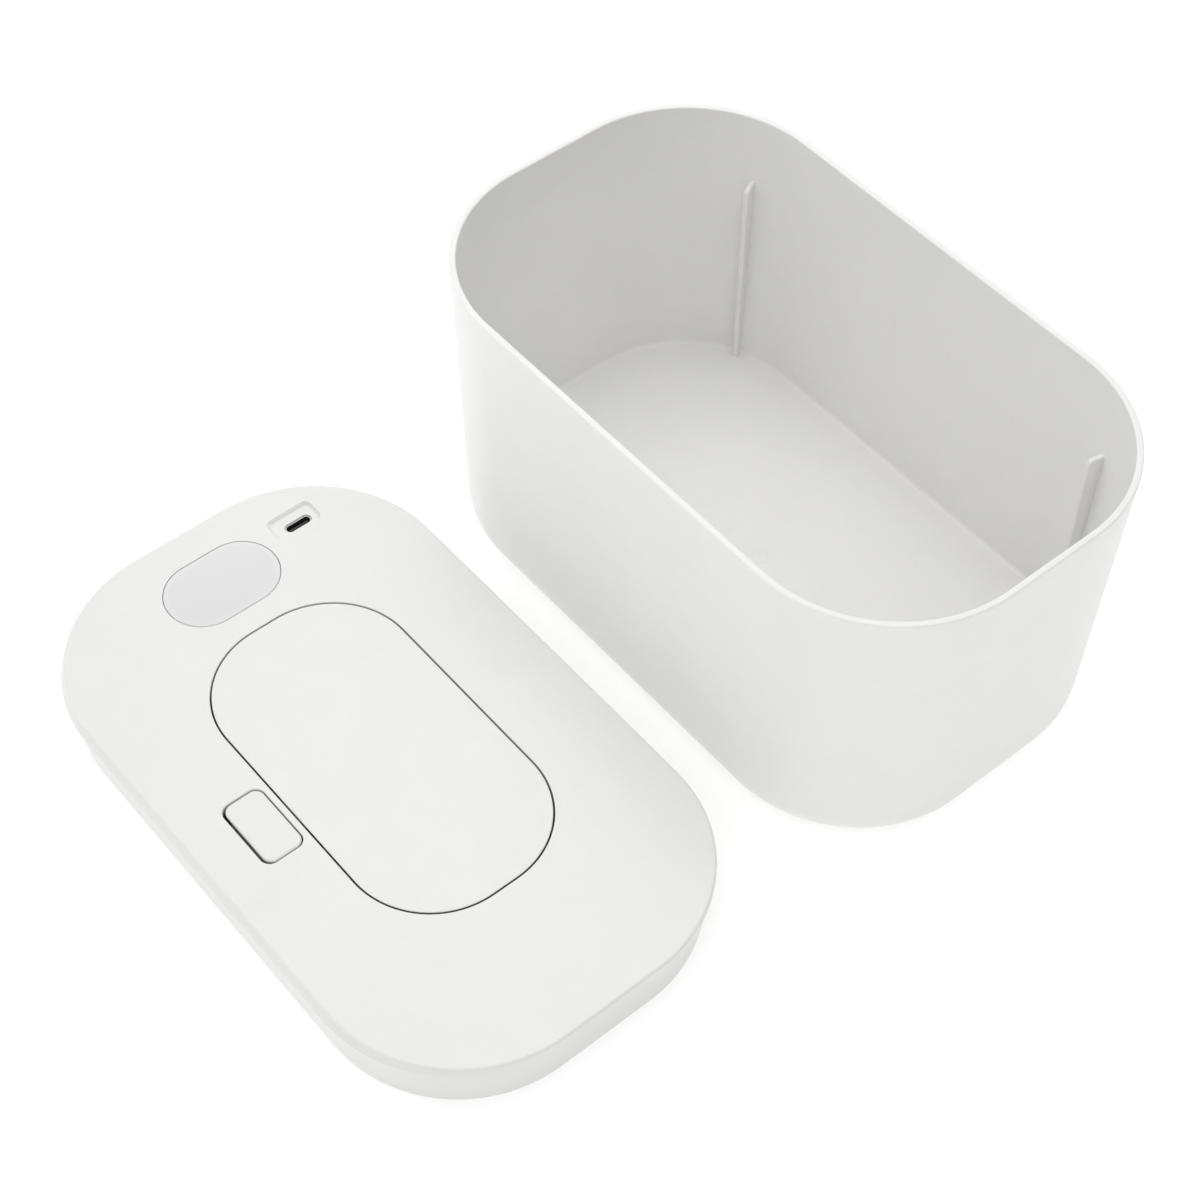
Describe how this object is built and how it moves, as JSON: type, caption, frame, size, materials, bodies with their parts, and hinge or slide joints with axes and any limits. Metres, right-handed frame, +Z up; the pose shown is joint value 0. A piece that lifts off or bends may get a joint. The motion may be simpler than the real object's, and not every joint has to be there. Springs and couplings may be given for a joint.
{
  "type": "baby wipe warmer",
  "caption": "Open tub for baby wipes with a removable warming lid lying in front of it; the lid has a flip door, a latch button, a display window and a charging socket.",
  "frame": {"origin": "centre of the tub's anti-slip pad, on the table", "axes": "+X along the tub's long side, +Y from the lid towards the tub, +Z up; the lid lies on the table at -Y"},
  "size_m": [0.2176, 0.2638, 0.104],
  "materials": {
    "white_gloss": "injection-moulded white ABS, glossy",
    "grey_silicone": "matt grey silicone",
    "pale_silicone": "soft pale silicone",
    "zinc_steel": "zinc-plated steel",
    "plated_steel": "nickel-plated steel",
    "spring_steel": "drawn spring wire",
    "spring_brass": "plated brass wire",
    "copper_wire": "tinned copper wire",
    "aluminium_sheet": "rolled aluminium sheet",
    "amber_film": "polyimide film with an etched element",
    "dark_foam": "closed-cell foam",
    "black_epoxy": "moulded black epoxy",
    "ceramic_white": "ceramic body",
    "red_insulation": "wire insulation",
    "green_board": "solder-masked glass epoxy",
    "capacitor_can": "sleeved aluminium can",
    "ivory_plastic": "moulded nylon",
    "clear_lens": "translucent tinted polycarbonate, glossy"
  },
  "bodies": {
    "tub": {"tub": "white_gloss", "base_pad": "grey_silicone"},
    "sensor_link": {"temperature_sensor": "black_epoxy"},
    "lid": {"lid_cover": "white_gloss", "lid_base": "white_gloss", "lid_seal": "pale_silicone", "lid_screws": "zinc_steel", "heater_plate": "aluminium_sheet", "heater_film": "amber_film", "insulation_pad": "dark_foam", "heater_screws": "zinc_steel", "sensor_leads": "copper_wire", "thermal_cutoff": "ceramic_white", "heater_wires": "red_insulation", "main_circuit_board": "green_board", "board_screws": "zinc_steel", "control_chip": "black_epoxy", "board_capacitors": "capacitor_can", "heater_connector": "ivory_plastic", "display_module": "ivory_plastic", "display_window": "clear_lens", "touch_springs": "spring_brass", "usb_socket_shell": "plated_steel", "usb_socket_tongue": "black_epoxy", "dispensing_mouth": "pale_silicone", "hinge_pin": "zinc_steel", "door_spring": "spring_steel", "button_springs": "spring_steel"},
    "flip_door": {"flip_door": "white_gloss", "door_liner": "white_gloss", "door_seal": "pale_silicone"},
    "latch_button": {"latch_button": "white_gloss"},
    "latch_slider": {"latch_slider": "ivory_plastic"}
  },
  "joints": [
    {"name": "lid_carry", "type": "hinge", "parent": "tub", "child": "sensor_link", "pos_m": [-0.06893, -0.1311, 0.09836], "axis": [-0.9977, 0.0684, 0], "range_deg": [0, 251.79]},
    {"name": "lid_level", "type": "hinge", "parent": "sensor_link", "child": "lid", "pos_m": [-0.0716, -0.17, 0.0045], "axis": [-0.9977, 0.0684, 0], "range_deg": [-251.79, 0]},
    {"name": "door_hinge", "type": "hinge", "parent": "lid", "child": "flip_door", "pos_m": [-0.0096, -0.1021, 0.0162], "axis": [-1, 0, 0], "range_deg": [0, 100], "deforming": ["door_spring"]},
    {"name": "button_press", "type": "slide", "parent": "lid", "child": "latch_button", "axis": [0, 0, -1], "range_m": [0, 0.0018], "stiffness_N_per_m": 500, "springref_m": -0.0008, "deforming": ["button_springs"]},
    {"name": "latch_slide", "type": "slide", "parent": "lid", "child": "latch_slider", "axis": [0, -1, 0], "range_m": [0, 0.0018]}
  ],
  "couplings": [
    {"joint": "lid_level", "follows": "lid_carry", "ratio": -1},
    {"joint": "latch_slide", "follows": "button_press", "ratio": 1}
  ]
}
